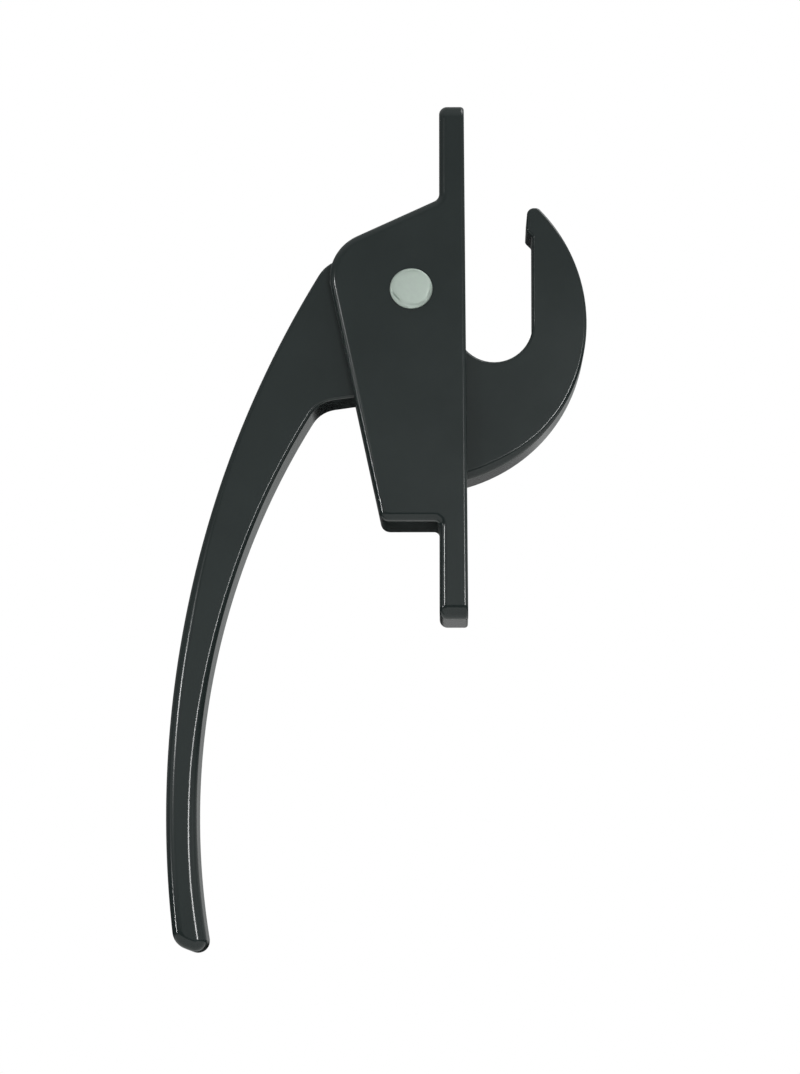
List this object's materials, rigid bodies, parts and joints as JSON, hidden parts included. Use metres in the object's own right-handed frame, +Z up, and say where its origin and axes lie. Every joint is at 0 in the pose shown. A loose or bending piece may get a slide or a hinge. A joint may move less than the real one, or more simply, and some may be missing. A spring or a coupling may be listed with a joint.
{
  "type": "casement window handle",
  "caption": "Black die-cast casement window handle: a curved lever swings on a riveted pivot in an open fork, and its hook pulls a hinged sash shut against the frame.",
  "frame": {"origin": "midway between the two screw holes, on the back of the mounting plate", "axes": "+X leaves the plate's back towards the window frame, +Y runs along the pivot from the right side to the left, +Z is up the plate"},
  "size_m": [0.0616, 0.0175, 0.123],
  "materials": {
    "black_coat": "semi-gloss black powder coat on a zinc die casting",
    "rivet_metal": "bare steel, peened flat",
    "washer_nylon": "natural nylon"
  },
  "bodies": {
    "base": {"mounting_base": "black_coat", "pivot_rivet": "rivet_metal", "thrust_washer_right": "washer_nylon", "thrust_washer_left": "washer_nylon"},
    "lever": {"lever_hook": "black_coat"}
  },
  "joints": [
    {"name": "handle_pivot", "type": "hinge", "parent": "base", "child": "lever", "pos_m": [-0.0081, 0, 0.0103], "axis": [0, 1, 0], "range_deg": [0, 75]}
  ]
}
